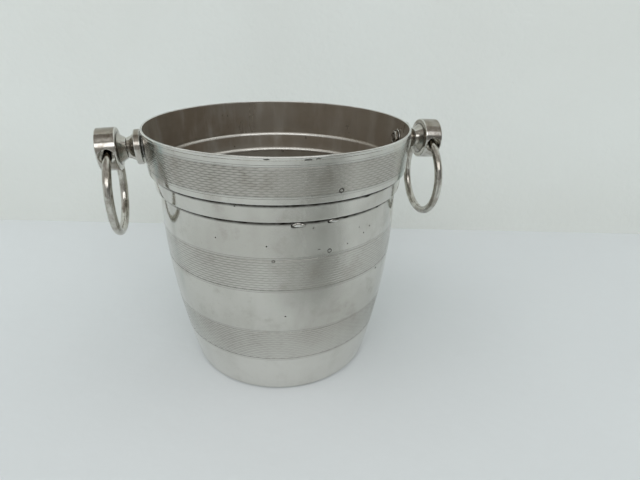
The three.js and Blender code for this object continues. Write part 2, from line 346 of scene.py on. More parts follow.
def spin(name, line, columns, spread, closed=False, quiet=(), shade=(), shine=(), lines=()):
    """A turned mesh round Z. A closed profile makes a ring, and any other starts and ends on the axis.

    Quiet lists stretches (low, high) with no wear of their own. Shade lists stretches
    (light end, dark end, least radius, amount) of painted shade that grow darker from one end to the other.
    Shine lists stretches (low, high, most radius) painted as worn ledges with a painted highlight, and lines
    lists dark lines (height, least radius, half width).
    """
    line = guard(without_repeats(line), spread, closed)
    points = np.asarray(line, float)
    edge, hollow = turning(line, closed, spread, quiet)
    for clean, dark, least, amount in shade:
        part = (points[:, 1] - clean) / (dark - clean)
        inside = (part > -1e-6) & (part < 1 + 1e-6) & (points[:, 0] > least)
        hollow = np.clip(hollow + np.where(inside, amount * part, 0.0), 0.0, 1.0)
    for height, least, width in lines:
        near = np.exp(-(((points[:, 1] - height) / width) ** 2)) * (points[:, 0] > least)
        hollow = np.clip(hollow + 0.6 * near, 0.0, 1.0)
    for low, high, most in shine:
        inside = (points[:, 1] > low) & (points[:, 1] < high) & (points[:, 0] < most)
        edge = np.where(inside, 1.0, edge)
    angle = np.linspace(0.0, 2 * np.pi, columns, endpoint=False)
    x = points[:, :1] * np.cos(angle)
    y = points[:, :1] * np.sin(angle)
    z = points[:, 1:] * np.ones(columns)
    mesh = bpy.data.meshes.new(name)
    corners = np.stack([x, y, z], axis=2).reshape(-1, 3)
    mesh.from_pydata(corners, [], grid_faces(len(line), columns, closed).tolist())
    set_wear(mesh, np.repeat(edge, columns), np.repeat(hollow, columns))
    return close_up(mesh)


def add_object(mesh, *materials):
    mesh.materials.clear()
    for material in materials:
        mesh.materials.append(material)
    thing = bpy.data.objects.new(mesh.name, mesh)
    bpy.context.scene.collection.objects.link(thing)
    return thing


def subtract(thing, *cutters):
    """Takes the cutters out of the object's mesh, then removes them."""
    for cutter in cutters:
        cut = thing.modifiers.new("Hole", "BOOLEAN")
        cut.operation, cut.solver, cut.object = "DIFFERENCE", "EXACT", cutter
    bake(thing)
    for cutter in cutters:
        bpy.data.objects.remove(cutter)


def bake(thing):
    """Turns the object's live modifiers into its plain mesh."""
    bpy.context.view_layer.update()
    evaluated = thing.evaluated_get(bpy.context.evaluated_depsgraph_get())
    mesh = bpy.data.meshes.new_from_object(evaluated)
    mesh.name = thing.name
    thing.modifiers.clear()
    old, thing.data = thing.data, mesh
    bpy.data.meshes.remove(old)


def finish_piece(thing, body, slot, *nodes):
    """Puts a finished piece on its body and hides the CAD nodes it stands for. Its finish argument is not
    used.
    """
    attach(thing, body)
    if nodes:
        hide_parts(*nodes)


# ---- Node trees ----
class Wiring:
    """Adds nodes to a tree and links them as they are made."""

    def __init__(self, tree):
        self.tree = tree

    def add(self, kind, **values):
        node = self.tree.nodes.new(kind)
        for key, value in values.items():
            setattr(node, key, value)
        return node

    def put(self, socket, value):
        """Links an output into the socket, or sets the socket's own value."""
        if isinstance(value, bpy.types.NodeSocket):
            self.tree.links.new(value, socket)
        else:
            socket.default_value = value

    def math(self, operation, *values, clamp=False):
        node = self.add("ShaderNodeMath", operation=operation, use_clamp=clamp)
        for socket, value in zip(node.inputs, values):
            self.put(socket, value)
        return node.outputs[0]

    def total(self, first, *others):
        for other in others:
            first = self.math("ADD", first, other)
        return first

    def product(self, first, *others):
        for other in others:
            first = self.math("MULTIPLY", first, other)
        return first

    def step(self, value, low, high, to_low=0.0, to_high=1.0):
        """Eases from one value to the other as the input passes from low to high."""
        node = self.add("ShaderNodeMapRange", interpolation_type="SMOOTHSTEP")
        for name, number in (("Value", value), ("From Min", low), ("From Max", high),
                             ("To Min", to_low), ("To Max", to_high)):
            self.put(node.inputs[name], number)
        return node.outputs[0]

    def mix(self, factor, first, second):
        """A colour that goes from the first to the second as the factor goes from 0 to 1."""
        node = self.add("ShaderNodeMix", data_type="RGBA")
        self.put(node.inputs[0], factor)
        for socket, colour in ((node.inputs[6], first), (node.inputs[7], second)):
            self.put(socket, colour if isinstance(colour, bpy.types.NodeSocket) else (*colour, 1.0))
        return node.outputs[2]

    def coats(self, colour, *over):
        """Lays (share, colour) coats over a colour, one after another."""
        for factor, coat in over:
            colour = self.mix(factor, colour, coat)
        return colour

    def parts(self, vector):
        """The X, Y and Z of a vector."""
        node = self.add("ShaderNodeSeparateXYZ")
        self.put(node.inputs[0], vector)
        return tuple(node.outputs)

    def stretch(self, vector, scale):
        node = self.add("ShaderNodeMapping", vector_type="POINT")
        self.put(node.inputs["Vector"], vector)
        node.inputs["Scale"].default_value = scale
        return node.outputs[0]

    def noise(self, vector, scale, detail=3.0, roughness=0.55):
        node = self.add("ShaderNodeTexNoise")
        self.put(node.inputs["Vector"], vector)
        node.inputs["Scale"].default_value = scale
        node.inputs["Detail"].default_value = detail
        node.inputs["Roughness"].default_value = roughness
        return node.outputs["Fac"]

    def attribute(self, name):
        return self.add("ShaderNodeAttribute", attribute_name=name).outputs["Fac"]


class Finish(Wiring):
    """A metal material: colours, roughness and bump, read from Object coordinates."""

    def __init__(self, name):
        self.material = bpy.data.materials.new(name)
        self.material.use_nodes = True
        super().__init__(self.material.node_tree)
        self.tree.nodes.clear()
        self.place = self.add("ShaderNodeTexCoord").outputs["Object"]
        self.shader = self.add("ShaderNodeBsdfPrincipled")
        self.shader.inputs["Metallic"].default_value = 1.0
        self.output = self.add("ShaderNodeOutputMaterial").inputs["Surface"]
        self.put(self.output, self.shader.outputs[0])

    def surface(self, colour, roughness):
        self.put(self.shader.inputs["Base Color"], colour)
        self.put(self.shader.inputs["Roughness"], roughness)

    def bump(self, *layers):
        """Stacks (height, distance) layers on the surface."""
        normal = None
        for height, distance in layers:
            node = self.add("ShaderNodeBump")
            node.inputs["Strength"].default_value = 1.0
            node.inputs["Distance"].default_value = distance
            self.put(node.inputs["Height"], height)
            if normal is not None:
                self.put(node.inputs["Normal"], normal)
            normal = node.outputs["Normal"]
        self.put(self.shader.inputs["Normal"], normal)

    def bearing(self):
        """The angle round the bucket's axis."""
        x, y, _ = self.parts(self.place)
        return self.math("ARCTAN2", y, x)

    def away_from(self, angle):
        """How far round the axis a point lies from an angle, in radians."""
        return self.math("ABSOLUTE", self.math("SUBTRACT", self.bearing(), angle))

    def dirt_and_shade(self, hollow, low, high, speckle, gain, least):
        """Dirt and painted shade that fill the hollows, broken up by a speckle."""
        return self.math(
            "MULTIPLY", self.step(hollow, low, high),
            self.math("MULTIPLY_ADD", speckle, gain, least), clamp=True)

    def show(self, factor, first, second):
        """Shows the second shader as the factor goes to 1. None stands for nothing to see."""
        node = self.add("ShaderNodeMixShader")
        self.put(node.inputs[0], factor)
        for socket, shader in ((node.inputs[1], first), (node.inputs[2], second)):
            if shader is None:
                shader = self.add("ShaderNodeBsdfTransparent")
            self.put(socket, shader.outputs[0])
        self.put(self.output, node.outputs[0])


# ---- Marks left on the plate: angle in degrees, height, half width, half height ----
STAINS = (
    (-102.6, 183.7, 2.4, 0.45), (-88.6, 183.2, 2.6, 0.5), (-85.4, 183.5, 2.2, 0.4),
    (-46.7, 92.6, 1.3, 0.7), (-104.1, 127.3, 0.5, 0.6), (-69.1, 123.2, 0.5, 0.4), (-82.4, 123.2, 1.3, 0.3),
    (-60.0, 127.3, 0.5, 0.6), (-56.2, 130.5, 0.5, 0.6), (-85.1, 138.2, 0.7, 0.5), (-96.8, 74.1, 0.7, 0.5),
    (-125.9, 129.6, 0.5, 0.5), (-115.3, 153.9, 0.6, 0.5), (-99.7, 155.3, 0.8, 0.5), (-70.5, 155.4, 3.0, 0.5),
    (-97.6, 142.2, 1.8, 0.7), (-83.6, 142.0, 2.2, 0.6), (-70.4, 141.8, 2.6, 0.7), (-33.4, 137.0, 1.2, 3.6),
    (-51.0, 141.5, 1.6, 0.8), (-44.5, 141.7, 1.2, 0.8), (-62.0, 154.3, 2.8, 0.8), (-40.6, 141.2, 1.0, 1.3),
    (-31.8, 126.0, 0.7, 2.6), (-63.0, 132.4, 0.4, 0.4), (24.0, 139.8, 2.4, 0.9), (71.0, 152.7, 1.4, 0.5),
    (112.0, 88.0, 0.7, 0.6), (140.0, 66.0, 1.0, 0.5), (95.0, 131.0, 0.6, 0.6), (158.0, 141.6, 2.2, 0.7),
)
BUBBLES = (
    (-75.8, 162.8, 1.7, 1.5), (-77.9, 121.2, 1.5, 1.5), (-101.5, 117.0, 1.1, 0.9), (63.0, 126.0, 1.3, 1.2),
)
LIFTED_PLATE = ((-91.4, 140.7, 5.0, 1.75), (-76.5, 141.1, 4.2, 1.25))
# Patches of coloured film on the collar: angle and half width, both in degrees.
FILM_PATCHES = ((-150.0, 9.0), (-36.0, 10.0), (-12.0, 7.0), (28.0, 9.0), (148.0, 12.0), (-173.0, 7.0))


def plate_marks(wires):
    """How dark the stains and burst bubbles make the surface, from 0 to 1."""
    x, y, z = wires.parts(wires.place)
    angle = wires.math("ARCTAN2", y, x)

    def distance(first, second):
        squares = wires.total(wires.math("POWER", first, 2.0), wires.math("POWER", second, 2.0))
        return wires.math("POWER", squares, 0.5)

    radius = distance(x, y)
    ragged = wires.math("MULTIPLY_ADD", wires.noise(wires.place, 900.0, 2.0), 1.2, 0.4)
    dark = None
    for marks, ring in ((STAINS, False), (BUBBLES, True)):
        for degrees, height, wide, tall in marks:
            across = wires.product(
                wires.math("SUBTRACT", angle, math.radians(degrees)), radius, 1 / (wide * MM))
            along = wires.math("MULTIPLY_ADD", z, 1 / (tall * MM), -height / tall)
            far = distance(across, along)
            if ring:
                from_ring = wires.math("ABSOLUTE", wires.math("SUBTRACT", far, 0.8))
                mark = wires.step(from_ring, 0.1, 0.42, 0.8, 0.0)
            else:
                mark = wires.step(wires.product(far, ragged), 0.55, 1.1, 0.9, 0.0)
            dark = mark if dark is None else wires.math("MAXIMUM", dark, mark)
    return dark


def plate_material(colours):
    """Bright plate outside: haze, wiped streaks, worn edges, dirt in the hollows, painted shade under the
    steps, a painted reflection lightening the foot, stains, scratches.
    """
    wires = Finish("worn_plate_finish")
    place = wires.place
    height = wires.parts(place)[2]
    haze = wires.step(wires.noise(place, 15.0, 4.0, 0.6), 0.4, 0.66)
    wiped = wires.noise(wires.stretch(place, (1.0, 1.0, 0.14)), 80.0, 4.0)
    blotch = wires.noise(place, 230.0, 4.0, 0.62)
    smudge = wires.step(wires.noise(place, 55.0, 6.0, 0.65), 0.5, 0.72)
    freckle = wires.step(wires.noise(place, 480.0, 2.0), 0.7, 0.78)
    marks = plate_marks(wires)
    # Dirt in the hollows, and painted shade under the two steps where the shell's hollow attribute was
    # raised.
    dirt_and_shade = wires.dirt_and_shade(wires.attribute("hollow"), 0.12, 0.95, blotch, 0.7, 0.6)
    film = wires.product(film_patches(wires), wires.step(wiped, 0.36, 0.56))
    film_colour = wires.mix(
        wires.step(wires.noise(place, 60.0, 3.0), 0.4, 0.6), colours.tarnish, colours.film)
    # Painted reflection: the lower body is painted lighter towards the foot, standing in for the bright
    # floor that it mirrors.
    painted_foot_reflection = wires.step(height, 0.024, 0.062, 0.6, 0.0)
    darkening = wires.product(wires.attribute("engraved"), wires.step(height, 0.13, 0.155, 0.13, 0.32))
    cuts = wires.product(
        wires.attribute("cut"), rubbed_front(wires), wires.math("MULTIPLY_ADD", blotch, 0.7, 0.5),
        wires.step(height, 0.13, 0.155, 0.72, 0.85))
    colour = wires.coats(
        wires.mix(wires.product(haze, 0.55), colours.plate, colours.haze),
        (wires.step(wiped, 0.5, 0.74, 0.0, 0.4), colours.haze),
        (wires.product(smudge, 0.26), colours.tarnish),
        (wires.step(blotch, 0.58, 0.8, 0.0, 0.16), colours.tarnish),
        (wires.product(freckle, 0.22), colours.tarnish),
        (wires.product(film, 0.75), film_colour),
        (wires.step(wires.attribute("edge"), 0.25, 1.0, 0.0, 0.8), RUBBED_EDGE),
        (wires.product(painted_foot_reflection, 0.8), FOOT_REFLECTION_COLOUR),
        (darkening, colours.tarnish),
        (cuts, colours.crust_and_shade),
        (dirt_and_shade, colours.crust_and_shade),
        (marks, colours.crust_and_shade),
    )
    scratches = wires.noise(wires.stretch(place, (9.0, 9.0, 420.0)), 5.0, 3.0, 0.7)
    roughness = wires.total(
        wires.math("MULTIPLY_ADD", haze, 0.06, 0.085),
        wires.step(blotch, 0.35, 0.8, 0.0, 0.06),
        wires.product(smudge, 0.07),
        wires.step(scratches, 0.45, 0.75, 0.0, 0.05),
        wires.product(marks, 0.35),
        wires.product(dirt_and_shade, 0.3),
    )
    wires.surface(colour, roughness)
    wires.bump(
        (wires.noise(place, 22.0, 2.0), 0.0005),
        (scratches, 0.000008),
        (wires.math("MULTIPLY", marks, -1.0), 0.00012),
    )
    return wires.material


def rubbed_front(wires):
    """How much of the dirt in the engraving is left: least at the front, where it is rubbed most."""
    return wires.step(wires.away_from(-FRONT_ANGLE), math.radians(6), math.radians(38), 0.4, 1.0)


def film_patches(wires):
    """Where a coloured film of tarnish has settled on the collar, beside each handle."""
    on_collar = wires.step(wires.parts(wires.place)[2], 0.1555, 0.157, 0.25, 1.0)
    film = None
    for degrees, wide in FILM_PATCHES:
        away = wires.away_from(math.radians(degrees))
        patch = wires.step(away, math.radians(wide * 0.25), math.radians(wide), 1.0, 0.0)
        film = patch if film is None else wires.math("MAXIMUM", film, patch)
    return wires.product(film, on_collar)


def lining_material(colours):
    """Tarnished plate inside, with runs of water stain, ledges worn bright and painted with a highlight
    towards the back, and painted shade on the right side.
    """
    wires = Finish("tarnished_lining_finish")
    wires.shader.inputs["Metallic"].default_value = 0.55
    place = wires.place
    cloud = wires.noise(place, 26.0, 4.0, 0.6)
    runs = wires.noise(wires.stretch(place, (1.0, 1.0, 0.2)), 70.0, 5.0, 0.6)
    blotch = wires.noise(place, 60.0, 2.0, 0.5)
    x, y, z = wires.parts(place)
    below_ledges = wires.step(z, 0.142, 0.150, 1.0, 0.0)
    dirt_and_shade = wires.dirt_and_shade(wires.attribute("hollow"), 0.25, 1.0, blotch, 1.0, 0.3)
    # Worn ledges, painted brighter towards the back as a painted highlight.
    worn_and_highlit = wires.product(
        wires.step(wires.attribute("edge"), 0.2, 0.7), wires.step(y, 0.035, 0.088, 0.1, 1.0))
    colour = wires.coats(
        wires.mix(wires.step(cloud, 0.36, 0.64), colours.lining, colours.tarnish),
        (wires.step(runs, 0.44, 0.7, 0.0, 0.42), colours.haze),
        (wires.step(blotch, 0.5, 0.85, 0.0, 0.25), DARK_BLOTCH),
        (wires.product(below_ledges, 0.4), colours.haze),
        (wires.product(dirt_and_shade, 0.7), colours.crust_and_shade),
        # Painted shade: the inner wall is painted darker towards +X, on the bucket's right side.
        (wires.step(x, -0.03, 0.07, 0.0, 0.55), colours.tarnish),
        (worn_and_highlit, LEDGE_WEAR_AND_HIGHLIGHT),
    )
    roughness = wires.total(
        wires.step(blotch, 0.3, 0.8, 0.26, 0.42),
        wires.step(runs, 0.4, 0.7, 0.0, 0.08),
        wires.product(worn_and_highlit, -0.16),
    )
    wires.surface(colour, roughness)
    wires.bump((cloud, 0.0005), (blotch, 0.00003))
    return wires.material


def turned_material(name, base, colours, roughness, lines):
    """Handled metal: grime and painted shade in the hollows, painted shade on the tops of the drums, bright
    worn edges, turning lines and a patchy satin.
    """
    wires = Finish(f"{name}_finish")
    place = wires.place
    patch = wires.noise(place, 130.0, 4.0, 0.6)
    grain = wires.noise(place, 800.0, 3.0, 0.6)
    dirt_and_shade = wires.dirt_and_shade(wires.attribute("hollow"), 0.1, 0.8, patch, 0.7, 0.55)
    ragged_height = wires.total(wires.parts(place)[2], wires.product(patch, 0.004))
    colour = wires.coats(
        base,
        (wires.step(patch, 0.42, 0.62, 0.0, 0.5), colours.tarnish),
        # Painted shade: everything above about 180 mm, the tops of the drums and flanges, is painted darker,
        # standing in for the dim room that it mirrors.
        (wires.step(ragged_height, 0.1795, 0.1835, 0.0, 0.5), colours.tarnish),
        (wires.step(grain, 0.5, 0.75, 0.0, 0.3), colours.tarnish),
        (wires.step(wires.attribute("edge"), 0.2, 0.8, 0.0, 0.85), RUBBED_TURNING),
        (dirt_and_shade, colours.crust_and_shade),
    )
    turned = wires.noise(wires.stretch(place, lines), 1.0, 2.0, 0.6)
    wires.surface(colour, wires.total(
        roughness,
        wires.step(patch, 0.35, 0.75, 0.0, 0.12),
        wires.step(grain, 0.4, 0.8, 0.0, 0.07),
        wires.product(dirt_and_shade, 0.2),
    ))
    wires.bump((patch, 0.00006), (turned, 0.0000025), (grain, 0.0000015))
    return wires.material


def metal(name):
    """One of the bucket's finishes, made the first time that it is asked for."""
    known = bpy.data.materials.get(f"{name}_finish")
    if known:
        return known
    colours = settings().colours
    along_handle, along_wire = (5200.0, 60.0, 60.0), (240.0, 240.0, 240.0)
    turned = {
        "turned_silver": (colours.turned, colours, 0.09, along_handle),
        "ring_wire": (colours.wire, colours, 0.09, along_wire),
        "fastener_metal": (colours.fastener, colours, 0.2, along_handle),
    }
    if name in turned:
        return turned_material(name, *turned[name])
    return {"worn_plate": plate_material, "tarnished_lining": lining_material}[name](colours)


# ---- Bucket shell ----
class ShellShape:
    """Heights and radii of the spun shell, worked out from its sizes."""

    def __init__(self, sizes, engraving):
        self.sizes, self.engraving = sizes, engraving
        self.hem_foot = sizes.height - sizes.hem_height
        self.collar_foot = sizes.height - sizes.collar_height
        self.band_foot = self.collar_foot - sizes.band_height
        self.collar_top_radius = sizes.mouth_radius - sizes.hem_stand
        self.collar_foot_radius = self.collar_top_radius - sizes.collar_taper
        self.band_top_radius = self.collar_foot_radius - sizes.collar_step
        self.band_foot_radius = self.band_top_radius - sizes.band_taper
        self.body_top_radius = self.band_foot_radius - sizes.band_step
        foot, top = sizes.foot_radius, self.body_top_radius
        self.body_controls = (
            foot, (2 * foot + top) / 3 + sizes.lower_swell, (foot + 2 * top) / 3 + sizes.upper_swell, top)
        slope = sizes.collar_taper / (self.hem_foot - self.collar_foot)
        self.collar_slope = slope
        start = self.collar_foot_radius - self.collar_foot * slope
        self.collar_controls = tuple(start + slope * self.band_foot * k / 3 for k in range(4))

    def body_radius(self, height):
        t = height / self.band_foot
        a, b, c, d = self.body_controls
        return a * (1 - t) ** 3 + 3 * b * t * (1 - t) ** 2 + 3 * c * t * t * (1 - t) + d * t ** 3

    def collar_radius(self, height):
        return self.collar_foot_radius + (height - self.collar_foot) * self.collar_slope

    def skin(self, height):
        """Radius of the outer side at any height."""
        if height < self.band_foot:
            return self.body_radius(height)
        if height > self.collar_foot:
            return self.collar_radius(height)
        rise = (height - self.band_foot) / self.sizes.band_height
        return self.band_foot_radius + rise * self.sizes.band_taper

    def side(self, radius, low, high, bands):
        """The outer side between two heights, with a seat for each band and a line beside it."""
        sizes, engraving = self.sizes, self.engraving
        kept = [(z, 0.0) for z in np.linspace(low, high, math.ceil((high - low) / SIDE_STEP) + 1)]
        for foot, top in bands:
            edge_low, edge_high = foot - engraving.margin, top + engraving.margin
            reach = sizes.line_pair + sizes.line_width + 0.2 * MM
            kept = [(z, d) for z, d in kept if not edge_low - reach < z < edge_high + reach]
            for edge in (edge_low, edge_high):
                for middle in (edge - sizes.line_pair, edge + sizes.line_pair):
                    kept += [(middle - sizes.line_width, 0.0), (middle, sizes.line_depth),
                             (middle + sizes.line_width, 0.0)]
            kept += [(foot - 0.02 * MM, 0.0), (foot, engraving.seat),
                     (top, engraving.seat), (top + 0.02 * MM, 0.0)]
            kept += [(z, engraving.seat) for z in np.linspace(foot, top, 12)[1:-1]]
        return [(radius(z) - depth, z) for z, depth in sorted(kept)]

    def outside(self):
        s, e = self.sizes, self.engraving
        ring_outer = s.foot_radius - s.foot_round
        ring_inner = ring_outer - s.foot_ring
        line = soften([
            (0.0, s.recess, 0.0), (ring_inner - s.recess_slope, s.recess, 0.8 * MM),
            (ring_inner, 0.0, 0.6 * MM), (ring_outer, 0.0, 0.0),
        ])
        line += bezier([(ring_outer, 0.0), (s.foot_radius, 0.0),
                        (self.body_radius(s.foot_round), s.foot_round)], 8)
        line += self.side(self.body_radius, s.foot_round, self.band_foot - 4.4 * MM,
                          ((e.lower_foot, e.lower_top), (e.upper_foot, e.upper_top)))
        line += [(self.body_radius(z), z) for z in (self.band_foot - b * MM for b in UNDER_SECOND_STEP)]
        band_slope = s.band_taper / s.band_height
        line += soften([
            (self.body_radius(self.band_foot - 0.7 * MM), self.band_foot - 0.7 * MM, 0.0),
            (self.body_top_radius, self.band_foot, s.step_hollow),
            (self.band_foot_radius, self.band_foot, s.step_round),
            *((self.band_top_radius - below * band_slope * MM, self.collar_foot - below * MM, 0.0)
              for below in UNDER_FIRST_STEP),
            (self.band_top_radius, self.collar_foot, s.step_hollow),
            (self.collar_foot_radius, self.collar_foot, s.step_round),
            (self.collar_radius(self.collar_foot + 1.5 * MM), self.collar_foot + 1.5 * MM, 0.0),
        ])
        line += self.side(self.collar_radius, self.collar_foot + 1.5 * MM, self.hem_foot - 0.1 * MM,
                          ((e.collar_foot, e.collar_top),))
        return line

    def rim(self):
        """The rolled rim: a shallow groove, then a round lip down to the inner wall."""
        s = self.sizes
        outer, inner, middle = s.mouth_radius, self.collar_top_radius - s.wall, self.hem_foot
        return soften([
            (self.collar_top_radius, middle - 0.1 * MM, 0.0),
            (self.collar_top_radius - 0.2 * MM, middle + 0.12 * MM, 0.12 * MM),
            (outer, middle + 0.4 * MM, 0.5 * MM), (outer, s.height, 0.62 * MM),
            (inner, s.height, 0.5 * MM), (inner, s.height - 2.0 * MM, 0.0),
        ])

    def inside(self):
        s = self.sizes
        wall = s.wall
        floor = s.recess + wall
        ring_inner = s.foot_radius - s.foot_round - s.foot_ring
        line = [(self.collar_top_radius - wall, s.height - 2.0 * MM)]
        for outer, inner, height in (
            (self.collar_foot_radius, self.band_top_radius, self.collar_foot + wall),
            (self.band_foot_radius, self.body_top_radius, self.band_foot + wall),
        ):
            outer, inner, bend = outer - wall, inner - wall, s.ledge_round
            line += bezier([(outer, height + s.step_hollow), (outer, height),
                            (outer - s.step_hollow, height)], 4)
            line += bezier([(outer - s.step_hollow, height), (inner, height),
                            (inner - 0.1 * bend, height - bend)], 9)
        corner_top = wall + s.foot_round
        heights = np.linspace(self.band_foot - 2.5 * MM, corner_top, 48)
        line += [(self.body_radius(z) - wall, z) for z in heights]
        corner = self.body_radius(wall) - wall
        line += bezier([(self.body_radius(corner_top) - wall, corner_top), (corner, wall),
                        (corner - s.foot_round, wall)], 8)
        line += soften([
            (corner - s.foot_round, wall, 0.0), (ring_inner, wall, 0.8 * MM),
            (ring_inner - s.recess_slope, floor, 0.8 * MM), (0.0, floor, 0.0),
        ])
        return line


def handle_place(turn):
    """The handle's own frame: X runs out from the collar's face, square to it."""
    sizes = settings()
    shape = ShellShape(sizes.shell, sizes.engraving)
    height = sizes.shell.height - sizes.handle.below_rim
    return (
        Matrix.Rotation(turn, 4, "Z")
        @ Matrix.Translation((shape.collar_radius(height), 0.0, height))
        @ Matrix.Rotation(math.atan(shape.collar_slope), 4, "Y")
    )


def along_x(turn):
    """Takes a mesh turned round Z to the handle's own X axis."""
    return handle_place(turn) @ Matrix.Rotation(math.pi / 2, 4, "Y")


class BUCKET_OT_shell(bpy.types.Operator):
    """Spins the bucket's shell with its steps, rolled rim, ledges and raised foot"""

    bl_idname = "bucket.shell"
    bl_label = "Bucket shell"

    def execute(self, context):
        sizes = settings()
        shape = ShellShape(sizes.shell, sizes.engraving)
        line = divide(shape.outside() + shape.rim() + shape.inside(), 5 * MM)
        cut, pair = sizes.engraving, sizes.shell.line_pair
        bands = ((cut.collar_foot, cut.collar_top), (cut.upper_foot, cut.upper_top),
                 (cut.lower_foot, cut.lower_top))
        quiet = [(foot - cut.margin - 2 * pair, top + cut.margin + 2 * pair) for foot, top in bands]
        quiet.append((shape.hem_foot - 0.4 * MM, shape.hem_foot + 0.3 * MM))
        lines = [
            (edge + offset, shape.skin(edge) - 0.6 * MM, 0.24 * MM)
            for foot, top in bands for edge in (foot - cut.margin, top + cut.margin)
            for offset in (-pair, pair)]
        # Painted shade under each step: it darkens the side just below the step's edge, standing in for the
        # shadow and the dark reflection of the step's underside.
        shade = [
            (foot - fall, foot, least - 0.6 * MM, 1.55) for foot, fall, least in (
                (shape.band_foot, 3.9 * MM, shape.body_top_radius),
                (shape.collar_foot, 3.4 * MM, shape.band_top_radius))]
        wall = sizes.shell.wall
        # Inner ledges painted bright: partly wear, partly a painted highlight.
        shine = [
            (foot + wall - 2.0 * MM, foot + wall + 0.1 * MM, least - wall + 1.3 * MM) for foot, least in (
                (shape.band_foot, shape.body_top_radius), (shape.collar_foot, shape.band_top_radius))]
        spun = spin("bucket_shell_spun", line, sizes.shell.round_steps, 0.4 * MM,
                    quiet=quiet, shade=shade, shine=shine, lines=lines)
        shell = add_object(spun, metal("worn_plate"), metal("tarnished_lining"))
        self.line_inside(shell.data, shape)
        radius = sizes.handle.stud_radius + sizes.handle.stud_clearance
        drills = []
        for turn in SIDES.values():
            reach = 9 * MM
            profile = [(0.0, -reach), (radius, -reach), (radius, reach), (0.0, reach)]
            drill = spin("stud_drill", profile, STUD_STEPS, MM)
            drill.transform(along_x(turn))
            drills.append(add_object(drill, metal("worn_plate")))
        subtract(shell, *drills)
        finish_piece(shell, "bucket", "plated_shell", "bucket_shell")
        return {"FINISHED"}

    @staticmethod
    def line_inside(mesh, shape):
        """Gives the faces of the inner wall and floor the lining's finish."""
        sizes = shape.sizes
        for face in mesh.polygons:
            x, y, z = face.center
            reach = math.hypot(x, y)
            inwards = face.normal.x * x + face.normal.y * y < 0 or face.normal.z > 0.7
            within = reach < shape.skin(z) - 0.75 * sizes.wall and z < sizes.height - 0.9 * MM
            if inwards and within:
                face.material_index = 1


# ---- Engine-turned bands ----
BAND_INPUTS = (
    ("Foot", "FLOAT"), ("Top", "FLOAT"), ("Lines", "INT"), ("Waves", "INT"), ("Wave height", "FLOAT"),
    ("Cut breadth", "FLOAT"), ("Cut depth", "FLOAT"), ("Sleeve", "FLOAT"), ("Body height", "FLOAT"),
    ("Radius 1", "FLOAT"), ("Radius 2", "FLOAT"), ("Radius 3", "FLOAT"), ("Radius 4", "FLOAT"),
    ("Steps per wave", "INT"), ("Steps per line", "INT"), ("Finish", "MATERIAL"),
)
SOCKET_KINDS = {"FLOAT": "NodeSocketFloat", "INT": "NodeSocketInt", "MATERIAL": "NodeSocketMaterial"}


